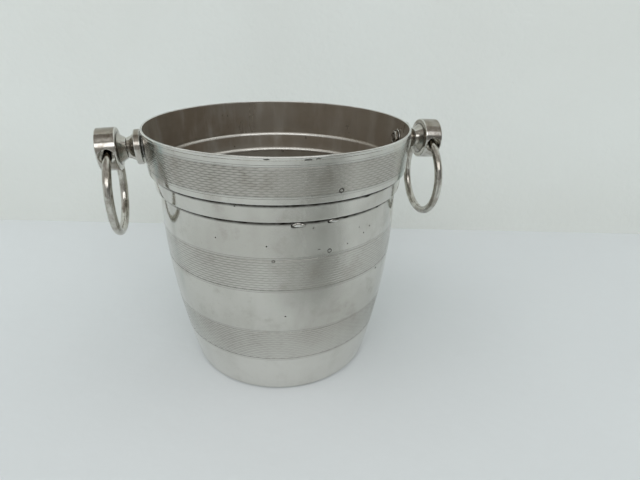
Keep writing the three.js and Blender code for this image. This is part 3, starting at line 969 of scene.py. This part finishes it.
def band_tree():
    """A patterned sleeve that follows the shell's side, cut with wavy lines in opposite swing."""
    name = "engine_turned_band"
    if name in bpy.data.node_groups:
        return bpy.data.node_groups[name]
    tree = bpy.data.node_groups.new(name, "GeometryNodeTree")
    tree.interface.new_socket("Geometry", in_out="OUTPUT", socket_type="NodeSocketGeometry")
    for label, kind in BAND_INPUTS:
        tree.interface.new_socket(label, in_out="INPUT", socket_type=SOCKET_KINDS[kind])
    wires = Wiring(tree)
    given = wires.add("NodeGroupInput").outputs

    # Rows: 0 is the inner foot, then the outer face, then the inner top, and the last meets row 0.
    columns = wires.total(wires.product(given["Waves"], given["Steps per wave"]), 1.0)
    last = wires.total(wires.product(given["Lines"], given["Steps per line"]), 3.0)
    grid = wires.add("GeometryNodeMeshGrid")
    wires.put(grid.inputs["Size X"], 1.0)
    wires.put(grid.inputs["Size Y"], 1.0)
    wires.put(grid.inputs["Vertices X"], columns)
    wires.put(grid.inputs["Vertices Y"], wires.total(last, 1.0))
    across, along, _ = wires.parts(wires.add("GeometryNodeInputPosition").outputs[0])
    angle = wires.product(wires.total(across, 0.5), 2 * math.pi)
    row = wires.math("ROUND", wires.product(wires.total(along, 0.5), last))
    outer = wires.math(
        "DIVIDE", wires.math("SUBTRACT", row, 1.0), wires.math("SUBTRACT", last, 3.0), clamp=True)
    up = wires.product(outer, wires.math("LESS_THAN", row, wires.math("SUBTRACT", last, 0.5)))
    hidden = wires.math("MAXIMUM", wires.math("LESS_THAN", row, 0.5),
                        wires.math("GREATER_THAN", row, wires.math("SUBTRACT", last, 1.5)))
    tall = wires.math("SUBTRACT", given["Top"], given["Foot"])
    height = wires.total(given["Foot"], wires.product(up, tall))

    t = wires.math("DIVIDE", height, given["Body height"])
    rest = wires.math("SUBTRACT", 1.0, t)
    radius = wires.total(
        wires.product(given["Radius 1"], rest, rest, rest),
        wires.product(given["Radius 2"], 3.0, t, rest, rest),
        wires.product(given["Radius 3"], 3.0, t, t, rest),
        wires.product(given["Radius 4"], t, t, t),
    )

    level = wires.math("SINE", wires.product(up, given["Lines"], math.pi))
    turns = wires.math("COSINE", wires.product(angle, given["Waves"]))
    wave = wires.product(turns, given["Wave height"])
    away = wires.math("ABSOLUTE", wires.math("SUBTRACT", level, wave))
    cut = wires.product(
        wires.math("SUBTRACT", 1.0, wires.math("DIVIDE", away, given["Cut breadth"]), clamp=True),
        wires.math("SUBTRACT", 1.0, hidden))
    drop = wires.total(wires.product(cut, given["Cut depth"]), wires.product(hidden, given["Sleeve"]))
    face = wires.math("SUBTRACT", radius, drop)
    place = wires.add("ShaderNodeCombineXYZ")
    wires.put(place.inputs[0], wires.product(face, wires.math("COSINE", angle)))
    wires.put(place.inputs[1], wires.product(face, wires.math("SINE", angle)))
    wires.put(place.inputs[2], height)

    stored = grid.outputs["Mesh"]
    for attribute, value in (("cut", cut), ("engraved", 1.0)):
        store = wires.add("GeometryNodeStoreNamedAttribute", data_type="FLOAT", domain="POINT")
        wires.put(store.inputs["Geometry"], stored)
        wires.put(store.inputs["Name"], attribute)
        wires.put(store.inputs["Value"], value)
        stored = store.outputs["Geometry"]
    move = wires.add("GeometryNodeSetPosition")
    wires.put(move.inputs["Geometry"], stored)
    wires.put(move.inputs["Position"], place.outputs[0])
    weld = wires.add("GeometryNodeMergeByDistance")
    wires.put(weld.inputs["Distance"], 1e-6)
    wires.put(weld.inputs["Geometry"], move.outputs[0])
    made = weld.outputs[0]
    for kind in ("GeometryNodeSetShadeSmooth", "GeometryNodeRealizeInstances"):
        node = wires.add(kind)
        wires.put(node.inputs["Geometry"], made)
        made = node.outputs[0]
    paint = wires.add("GeometryNodeSetMaterial")
    wires.put(paint.inputs["Geometry"], made)
    wires.put(paint.inputs["Material"], given["Finish"])
    wires.put(wires.add("NodeGroupOutput").inputs[0], paint.outputs[0])
    return tree


def run_tree(name, tree, values):
    """An object that holds the tree's result as a plain mesh."""
    thing = add_object(bpy.data.meshes.new(name))
    modifier = thing.modifiers.new(tree.name, "NODES")
    modifier.node_group = tree
    for item in tree.interface.items_tree:
        if item.in_out == "INPUT" and item.name in values:
            modifier[item.identifier] = values[item.name]
    bake(thing)
    return thing


class BUCKET_OT_engraving(bpy.types.Operator):
    """Cuts the three engine-turned bands round the collar and the body"""

    bl_idname = "bucket.engraving"
    bl_label = "Engine-turned bands"

    def execute(self, context):
        sizes = settings()
        shape, cut = ShellShape(sizes.shell, sizes.engraving), sizes.engraving
        collar, body = (cut.line_gap, cut.swing), (cut.body_gap, cut.body_swing)
        bands = (
            ("collar_engraving", cut.collar_foot, cut.collar_top, shape.collar_controls, *collar),
            ("upper_engraving", cut.upper_foot, cut.upper_top, shape.body_controls, *body),
            ("lower_engraving", cut.lower_foot, cut.lower_top, shape.body_controls, *body),
        )
        for name, foot, top, radii, gap, swing in bands:
            round_middle = 2 * math.pi * shape.skin((foot + top) / 2)
            band = run_tree(name, band_tree(), {
                "Foot": foot, "Top": top, "Lines": round((top - foot) / gap),
                "Waves": round(round_middle / cut.wave), "Wave height": swing,
                "Cut breadth": cut.breadth, "Cut depth": cut.depth, "Sleeve": cut.sleeve,
                "Body height": shape.band_foot, "Radius 1": radii[0], "Radius 2": radii[1],
                "Radius 3": radii[2], "Radius 4": radii[3], "Steps per wave": STEPS_PER_WAVE,
                "Steps per line": STEPS_PER_LINE, "Finish": metal("worn_plate"),
            })
            finish_piece(band, "bucket", "plated_shell")
        return {"FINISHED"}


class BUCKET_OT_lifted_plate(bpy.types.Operator):
    """Raises the two blisters of lifted plate under the second step"""

    bl_idname = "bucket.lifted_plate"
    bl_label = "Lifted plate"

    def execute(self, context):
        sizes = settings()
        shape = ShellShape(sizes.shell, sizes.engraving)
        rings, columns = 10, 40
        points, faces, edge, hollow = [], [], [], []
        for degrees, height, wide, tall in LIFTED_PLATE:
            start = len(points)
            for level in range(rings + 1):
                out = 1.0 - level / rings
                for k in range(columns):
                    a = 2 * math.pi * k / columns
                    ragged = 1 + 0.10 * math.sin(3 * a + height) + 0.06 * math.sin(5 * a)
                    z = (height + out * ragged * tall * math.sin(a)) * MM
                    rise = (0.8 * math.sqrt(max(0.0, 1 - out ** 2)) - (0.25 if level == 0 else 0.0)) * MM
                    reach = shape.body_radius(z) + rise
                    turn = math.radians(degrees) + out * ragged * wide * MM * math.cos(a) / reach
                    points.append((reach * math.cos(turn), reach * math.sin(turn), z))
                    lower_left = max(0.0, -0.75 * math.sin(a) - 0.5 * math.cos(a))
                    edge.append(0.9 if out < 0.5 else 0.0)
                    hollow.append(1.0 if out > 0.86 - 0.45 * lower_left else 0.0)
            faces += (grid_faces(rings + 1, columns, False) + start).tolist()
            faces.append([start + k for k in reversed(range(columns))])
        mesh = bpy.data.meshes.new("lifted_plate")
        mesh.from_pydata(points, [], faces)
        set_wear(mesh, edge, hollow)
        blisters = add_object(close_up(mesh), metal("worn_plate"))
        finish_piece(blisters, "bucket", "plated_shell")
        return {"FINISHED"}


# ---- Handles ----
class HandleShape:
    """Stations along the handle's own X axis, from the collar's outer face."""

    def __init__(self, sizes, shell, collar_radius):
        self.flange_back = sizes.seat_gap + sizes.boss_seat_height
        self.flange_front = self.flange_back + sizes.flange_thickness
        self.waist = self.flange_front + sizes.boss_cone_length
        self.head_back = self.waist + sizes.seat_gap
        self.drum_back = self.head_back + sizes.head_cone_length
        self.drum_front = self.drum_back + sizes.drum_length
        self.hole = (self.drum_back + self.drum_front) / 2
        inner = collar_radius - shell.wall
        rise = inner - math.sqrt(inner ** 2 - sizes.washer_radius ** 2)
        self.washer_front = -(shell.wall + rise + sizes.seat_gap)
        self.washer_back = self.washer_front - sizes.washer_thickness
        self.nut_front = self.washer_back - sizes.seat_gap
        self.nut_back = self.nut_front - sizes.nut_height
        self.stud_tip = self.nut_back - sizes.stud_past_nut
        self.bore = sizes.stud_radius + sizes.stud_clearance


def handle_shape():
    sizes = settings()
    shell = ShellShape(sizes.shell, sizes.engraving)
    height = sizes.shell.height - sizes.handle.below_rim
    return HandleShape(sizes.handle, sizes.shell, shell.collar_radius(height))


def hollow_point(sizes, radius, start, end):
    """The middle of a cone down to the waist, curved in."""
    return (radius + sizes.waist_radius) / 2 - sizes.cone_hollow, (start + end) / 2


def boss_mesh(sizes, at):
    hollow = hollow_point(sizes, sizes.boss_cone_radius, at.flange_front, at.waist)
    line = soften([
        (at.bore, sizes.seat_gap, 0.0), (sizes.boss_seat_radius, sizes.seat_gap, 0.15 * MM),
        (sizes.boss_seat_radius, at.flange_back, 0.2 * MM),
        (sizes.flange_radius, at.flange_back, sizes.edge_round),
        (sizes.flange_radius, at.flange_front, sizes.edge_round),
        (sizes.boss_cone_radius, at.flange_front, 0.3 * MM), (*hollow, 3 * MM),
        (sizes.waist_radius, at.waist, 0.3 * MM), (at.bore, at.waist, 0.0),
    ])
    least = at.bore + 0.2 * MM
    # Painted shade over the boss's cone between the flange and the waist.
    darkening = [(at.waist, at.flange_front, least, 0.12), (at.flange_front, at.waist, least, 0.12)]
    profile = divide(line, 0.5 * MM)
    return spin("handle_boss", profile, BOSS_STEPS, TURNED_SPREAD, closed=True, shade=darkening)


def head_mesh(sizes, at):
    hollow = hollow_point(sizes, sizes.head_cone_radius, at.head_back, at.drum_back)
    line = soften([
        (0.0, at.head_back, 0.0), (sizes.waist_radius, at.head_back, 0.3 * MM), (*hollow, 3 * MM),
        (sizes.head_cone_radius, at.drum_back, 0.4 * MM),
        (sizes.drum_radius, at.drum_back, sizes.edge_round),
        (sizes.drum_radius, at.drum_front, sizes.edge_round), (0.0, at.drum_front, 0.0),
    ])
    # Painted shade over the head's cone between the waist and the drum.
    darkening = [(at.head_back, at.drum_back, 0.0, 0.12), (at.drum_back, at.head_back, 0.0, 0.1)]
    return spin("handle_head", divide(line, 0.6 * MM), HEAD_STEPS, TURNED_SPREAD, shade=darkening)


def cross_drill(sizes, at):
    """A drill whose ends flare to follow the drum, so that the cross hole's lip comes out rounded."""
    columns, ease, flare = SMALL_STEPS, sizes.hole_ease, 6
    turn = np.linspace(0.0, 2 * np.pi, columns, endpoint=False)
    level = -sizes.hole_drop + sizes.hole_radius * np.sin(turn)
    skin = np.sqrt(sizes.drum_radius ** 2 - level ** 2)
    rows = [(sizes.hole_radius + ease + 1.5 * MM, skin + 1.6 * MM),
            (sizes.hole_radius + ease, skin + 0.02 * MM)]
    for k in range(1, flare + 1):
        a = math.pi / 2 * k / flare
        rows.append((sizes.hole_radius + ease * (1 - math.sin(a)), skin - ease * (1 - math.cos(a))))
    rows += [(sizes.hole_radius, skin * inwards) for inwards in (0.6, 0.3, 0.0)]
    rows += [(r, -y) for r, y in reversed(rows[:-1])]
    points = [
        np.stack([at.hole + r * np.cos(turn), y, -sizes.hole_drop + r * np.sin(turn)], axis=1)
        for r, y in rows]
    faces = grid_faces(len(rows), columns, False).tolist()
    faces += [list(range(columns)), [(len(rows) - 1) * columns + k for k in reversed(range(columns))]]
    mesh = bpy.data.meshes.new("cross_drill")
    mesh.from_pydata(np.concatenate(points), [], faces)
    from_end = [min(row, len(rows) - 1 - row) for row in range(len(rows))]
    worn = [0.9 if 1 <= away <= flare + 1 else 0.0 for away in from_end]
    set_wear(mesh, np.repeat(worn, columns), np.repeat([0.0 if w else 0.5 for w in worn], columns))
    return close_up(mesh)


def stud_mesh(sizes, at):
    """The threaded stud: the thread runs up the end that shows inside the bucket."""
    columns, per_turn = STUD_STEPS, 12
    end = at.nut_back + sizes.thread_shown
    rows = math.ceil((end - at.stud_tip) / sizes.thread_pitch * per_turn)
    a = np.linspace(at.stud_tip, end, rows + 1)[:, None]
    turn = np.linspace(0.0, 2 * np.pi, columns, endpoint=False)[None, :]
    thread = np.abs((a / sizes.thread_pitch + turn / (2 * np.pi)) % 1.0 - 0.5) * 2
    point = np.clip((a - at.stud_tip) / (0.9 * MM), 0.0, 1.0)
    r = sizes.stud_radius - sizes.thread_depth * np.maximum(thread, 1.4 * (1 - point))
    tip = np.zeros((1, columns))
    r = np.concatenate([tip, r, np.full((1, columns), sizes.stud_radius), tip])
    root = [[at.head_back + 2 * MM]]
    along = np.concatenate([a[:1], a, root, root]) * np.ones((1, columns))
    mesh = bpy.data.meshes.new("handle_stud")
    points = np.stack([r * np.cos(turn), r * np.sin(turn), along], axis=2).reshape(-1, 3)
    mesh.from_pydata(points, [], grid_faces(len(r), columns, False).tolist())
    depth = np.concatenate([[[0.0] * columns], thread * 0.8, [[0.0] * columns] * 2])
    set_wear(mesh, np.zeros(depth.size), depth.ravel())
    return close_up(mesh)


def washer_mesh(sizes, at):
    line = soften([
        (at.bore, at.washer_back, 0.0), (sizes.washer_radius, at.washer_back, 0.3 * MM),
        (sizes.washer_radius, at.washer_front, 0.15 * MM), (at.bore, at.washer_front, 0.0),
    ], 4)
    return spin("clamp_washer", divide(line, 0.8 * MM), SMALL_STEPS, TURNED_SPREAD, closed=True)


def nut_mesh(sizes, at):
    """A hexagon nut with its corners turned off at both faces."""
    columns = SMALL_STEPS
    turn = np.linspace(0.0, 2 * np.pi, columns, endpoint=False)
    flats = sizes.nut_flats / 2
    hexagon = flats / np.cos((turn + np.pi / 6) % (np.pi / 3) - np.pi / 6)
    rows, edge = [np.full(columns, at.bore + 0.3 * MM)], [0.4]
    heights = [at.nut_back]
    for along in np.linspace(0.0, 1.0, 13):
        inset = min(along, 1 - along) * sizes.nut_height
        rows.append(np.minimum(hexagon, flats * 0.95 + inset * 1.73))
        heights.append(at.nut_back + along * sizes.nut_height)
        edge.append(0.5 if inset < 0.5 * MM else 0.0)
    rows += [np.full(columns, at.bore + 0.3 * MM), np.full(columns, at.bore), np.full(columns, at.bore)]
    heights += [at.nut_front, at.nut_front - 0.3 * MM, at.nut_back + 0.3 * MM]
    edge += [0.4, 0.0, 0.0]
    points = [
        np.stack([r * np.cos(turn), r * np.sin(turn), np.full(columns, a)], axis=1)
        for r, a in zip(rows, heights)]
    mesh = bpy.data.meshes.new("clamp_nut")
    mesh.from_pydata(np.concatenate(points), [], grid_faces(len(rows), columns, True).tolist())
    hollow = [0.0] * (len(rows) - 2) + [0.7, 0.7]
    set_wear(mesh, np.repeat(edge, columns), np.repeat(hollow, columns))
    return close_up(mesh)


class BUCKET_OT_handles(bpy.types.Operator):
    """Turns the two handle heads with their bosses, and the stud, washer and nut that clamp each"""

    bl_idname = "bucket.handles"
    bl_label = "Handle heads"

    def execute(self, context):
        sizes, at = settings().handle, handle_shape()
        for side, turn in SIDES.items():
            made = (
                (boss_mesh(sizes, at), "turned_silver", (f"boss_{side}",)),
                (washer_mesh(sizes, at), "fastener_metal", (f"washer_{side}",)),
                (nut_mesh(sizes, at), "fastener_metal", (f"nut_{side}",)),
                (stud_mesh(sizes, at), "fastener_metal", ()),
            )
            for mesh, finish, nodes in made:
                mesh.transform(along_x(turn))
                mesh.name = f"{mesh.name.split('.')[0]}_{side}"
                finish_piece(add_object(mesh, metal(finish)), "bucket", finish, *nodes)
            drum = head_mesh(sizes, at)
            drum.transform(Matrix.Rotation(math.pi / 2, 4, "Y"))
            drum.name = f"handle_drum_{side}"
            head = add_object(drum, metal("turned_silver"))
            subtract(head, add_object(cross_drill(sizes, at), metal("turned_silver")))
            head.data.transform(handle_place(turn))
            head.data.set_sharp_from_angle(angle=SHARP_ANGLE)
            finish_piece(head, "bucket", "turned_silver", f"handle_head_{side}")
        return {"FINISHED"}


class BUCKET_OT_rings(bpy.types.Operator):
    """Bends the two loose rings, each with a faint soldered seam"""

    bl_idname = "bucket.rings"
    bl_label = "Loose rings"

    def execute(self, context):
        sizes = settings().rings
        around, section, seam_angle = 240, 36, math.radians(292)
        for side in SIDES:
            low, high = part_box(f"ring_{side}")
            turn = np.linspace(0.0, 2 * np.pi, around, endpoint=False)[:, None]
            small = np.linspace(0.0, 2 * np.pi, section, endpoint=False)[None, :]
            from_seam = np.abs((turn - seam_angle + np.pi) % (2 * np.pi) - np.pi)
            seam = np.exp(-((from_seam * sizes.ring_radius / sizes.seam_width) ** 2))
            wire = sizes.wire_radius - sizes.seam_depth * seam
            reach = sizes.ring_radius + wire * np.cos(small)
            middle = (low + high) / 2
            points = np.stack([
                middle.x + wire * np.sin(small),
                reach * np.cos(turn),
                middle.z + reach * np.sin(turn),
            ], axis=2).reshape(-1, 3)
            mesh = bpy.data.meshes.new(f"loose_ring_{side}")
            mesh.from_pydata(points, [], grid_faces(around, section, True).tolist())
            set_wear(mesh, np.zeros(around * section), np.repeat(0.45 * seam.ravel(), section))
            ring = add_object(close_up(mesh), metal("ring_wire"))
            finish_piece(ring, f"{side}_ring", "ring_wire", f"ring_{side}")
        return {"FINISHED"}


# ---- Stage ----
LAMP_SIZE = 1.6
# Name, place, what it points at, watts and colour.
LAMPS = (
    ("left_lamp", (-0.9, -0.2, 1.4), (0, 0, 0.08), 7.5, (1.0, 1.0, 1.0)),
    ("right_lamp", (0.9, -0.3, 1.4), (0, 0, 0.08), 5.0, (1.0, 0.995, 0.985)),
    ("front_lamp", (-0.1, -1.1, 1.2), (0.1, 0.2, 0.15), 4.0, (1.0, 0.995, 0.98)),
)


def plain_material(name, colour, grain, one_sided):
    """Matt cloth or plaster, seen from its front only if one-sided."""
    wires = Finish(name)
    wires.shader.inputs["Metallic"].default_value = 0.0
    cloud = wires.step(wires.noise(wires.place, 3.0, 3.0), 0.3, 0.7)
    if one_sided:
        # On the backdrop the colour is painted lighter up the wall: painted shade near its foot.
        up_wall = wires.step(wires.parts(wires.place)[2], 0.0, 0.16, 0.0, 0.6)
        cloud = wires.total(wires.product(cloud, 0.4), up_wall)
    dim = (0.90, 0.885, 0.87) if one_sided else (0.97, 0.97, 0.97)
    wires.surface(wires.mix(cloud, [c * d for c, d in zip(colour, dim)], colour), 0.9)
    wires.bump((wires.noise(wires.place, grain, 3.0), 0.0006))
    if one_sided:
        wires.show(wires.add("ShaderNodeNewGeometry").outputs["Backfacing"], wires.shader, None)
    return wires.material


def flat_sheet(name, corners, material):
    mesh = bpy.data.meshes.new(name)
    mesh.from_pydata(corners, [], [(0, 1, 2, 3)])
    sheet = add_object(mesh, material)
    return sheet


def soft_light(name, place, target, watts, colour):
    light = bpy.data.lights.new(name, "AREA")
    light.shape, light.size, light.energy, light.color = "DISK", LAMP_SIZE, watts, colour
    thing = bpy.data.objects.new(name, light)
    thing.location = place
    thing.rotation_euler = (Vector(target) - Vector(place)).to_track_quat("-Z", "Y").to_euler()
    thing.visible_camera = thing.visible_glossy = False
    bpy.context.scene.collection.objects.link(thing)


def room_light():
    """Soft light from all round: pale behind, dim overhead, with a bright window high in front."""
    world = bpy.data.worlds.new("studio")
    world.use_nodes = True
    wires = Wiring(world.node_tree)
    wires.tree.nodes.clear()
    towards = wires.add("ShaderNodeTexCoord").outputs["Generated"]
    x, y, z = wires.parts(towards)
    patches = wires.noise(wires.stretch(towards, (1.0, 1.0, 0.35)), 3.2, 2.0)
    front = wires.step(y, -0.6, 0.2, 1.0, 0.0)
    ceiling = wires.mix(
        wires.step(wires.noise(towards, 2.6, 2.0), 0.45, 0.6), (0.30, 0.29, 0.27), (0.62, 0.62, 0.60))
    window = wires.product(
        wires.step(z, 0.40, 0.46), wires.step(z, 0.66, 0.74, 1.0, 0.0),
        wires.step(y, -0.62, -0.5, 1.0, 0.0), wires.step(x, 0.42, 0.52, 1.0, 0.0))
    colour = wires.coats(
        wires.mix(front, (0.66, 0.675, 0.665), (0.40, 0.405, 0.395)),
        (wires.product(wires.step(patches, 0.48, 0.6), front, 0.8), (0.10, 0.10, 0.10)),
        (wires.step(z, 0.45, 0.7), ceiling),
        (window, (2.1, 2.13, 2.16)),
    )
    background = wires.add("ShaderNodeBackground")
    wires.put(background.inputs["Color"], colour)
    wires.put(wires.add("ShaderNodeOutputWorld").inputs["Surface"], background.outputs[0])
    bpy.context.scene.world = world


def soft_shade():
    """A dim soft patch that only the metal mirrors, as if someone stood in front of the table."""
    left, right, near, far, height = -0.6, 1.0, -1.0, -0.11, 0.004
    corners = [(left, near, height), (right, near, height), (right, far, height), (left, far, height)]
    wires = Finish("dim_shade")
    wires.shader.inputs["Metallic"].default_value = 0.0
    wires.surface((0.30, 0.32, 0.315, 1.0), 0.9)
    ragged = wires.noise(wires.place, 7.0, 2.0)
    x, y, _ = wires.parts(wires.place)
    ahead = wires.math("MULTIPLY", y, -1.0)
    aside = wires.math("ABSOLUTE", wires.math("SUBTRACT", wires.math("DIVIDE", x, ahead), 0.50))
    fade = wires.product(
        wires.step(wires.total(aside, wires.math("MULTIPLY", ragged, 0.3)), 0.1, 1.05, 0.78, 0.0),
        wires.step(ahead, 0.1, 0.2))
    wires.show(fade, None, wires.shader)
    shade = flat_sheet("soft_shade", corners, wires.material)
    shade.visible_camera = shade.visible_diffuse = shade.visible_shadow = False


class BUCKET_OT_stage(bpy.types.Operator):
    """Lays the pale floor, hangs the backdrop, and sets the soft lights and the camera"""

    bl_idname = "bucket.stage"
    bl_label = "Stage"

    camera_place = (-0.0504, -0.3415, 0.2538)
    heading, dip, lean = 13.68, 25.30, -1.28

    def execute(self, context):
        stage = settings().stage
        room_light()
        far, high = 4.0, 2.5
        flat_sheet("floor", [(-far, -far, 0), (far, -far, 0), (far, far, 0), (-far, far, 0)],
                   plain_material("pale_cloth", stage.floor, 60.0, False))
        turn = Matrix.Rotation(-math.radians(self.heading), 4, "Z")
        away = stage.wall_distance
        wall = [turn @ Vector(p) for p in (
            (-far, away, 0), (far, away, 0), (far, away, high), (-far, away, high))]
        flat_sheet("backdrop", wall, plain_material("pale_plaster", stage.wall, 140.0, True))
        soft_shade()
        for lamp in LAMPS:
            soft_light(*lamp)
        self.camera(stage.lens)
        context.scene.view_settings.view_transform = "Standard"
        return {"FINISHED"}

    def camera(self, lens):
        heading, dip, lean = (math.radians(a) for a in (self.heading, self.dip, self.lean))
        ahead = Vector((
            math.sin(heading) * math.cos(dip), math.cos(heading) * math.cos(dip), -math.sin(dip)))
        level = Vector((math.cos(heading), -math.sin(heading), 0.0))
        down = ahead.cross(level)
        right = math.cos(lean) * level + math.sin(lean) * down
        up = math.sin(lean) * level - math.cos(lean) * down
        data = bpy.data.cameras.new("camera")
        data.lens, data.sensor_width, data.clip_start = lens, 36.0, 0.01
        camera = bpy.data.objects.new("camera", data)
        place = Matrix((right, up, -ahead)).transposed().to_4x4()
        place.translation = self.camera_place
        camera.matrix_world = place
        bpy.context.scene.collection.objects.link(camera)
        bpy.context.scene.camera = camera


# ---- Add-on ----
class BucketSettings(bpy.types.PropertyGroup):
    """Everything that can be changed on the bucket."""

    shell: PointerProperty(type=ShellSizes)
    engraving: PointerProperty(type=EngravingSizes)
    handle: PointerProperty(type=HandleSizes)
    rings: PointerProperty(type=RingSizes)
    colours: PointerProperty(type=FinishColours)
    stage: PointerProperty(type=StageSizes)


class BUCKET_PT_panel(bpy.types.Panel):
    """Lists the bucket's pieces and their sizes"""

    bl_label = "Champagne bucket"
    bl_space_type = "VIEW_3D"
    bl_region_type = "UI"
    bl_category = "Bucket"

    def draw(self, context):
        for operator in PIECES:
            self.layout.operator(operator.bl_idname)
        for group in BucketSettings.__annotations__:
            part = getattr(settings(), group)
            box = self.layout.box()
            box.label(text=group.capitalize())
            for name in part.__annotations__:
                box.prop(part, name)


PIECES = (
    BUCKET_OT_shell, BUCKET_OT_engraving, BUCKET_OT_lifted_plate,
    BUCKET_OT_handles, BUCKET_OT_rings, BUCKET_OT_stage,
)
CLASSES = (
    ShellSizes, EngravingSizes, HandleSizes, RingSizes, FinishColours, StageSizes,
    BucketSettings, *PIECES, BUCKET_PT_panel,
)


def register():
    for item in CLASSES:
        bpy.utils.register_class(item)
    bpy.types.Scene.champagne_bucket = PointerProperty(type=BucketSettings)


def unregister():
    del bpy.types.Scene.champagne_bucket
    for item in reversed(CLASSES):
        bpy.utils.unregister_class(item)


def main():
    register()
    for operator in PIECES:
        group, name = operator.bl_idname.split(".")
        getattr(getattr(bpy.ops, group), name)()


if __name__ == "__main__":
    main()
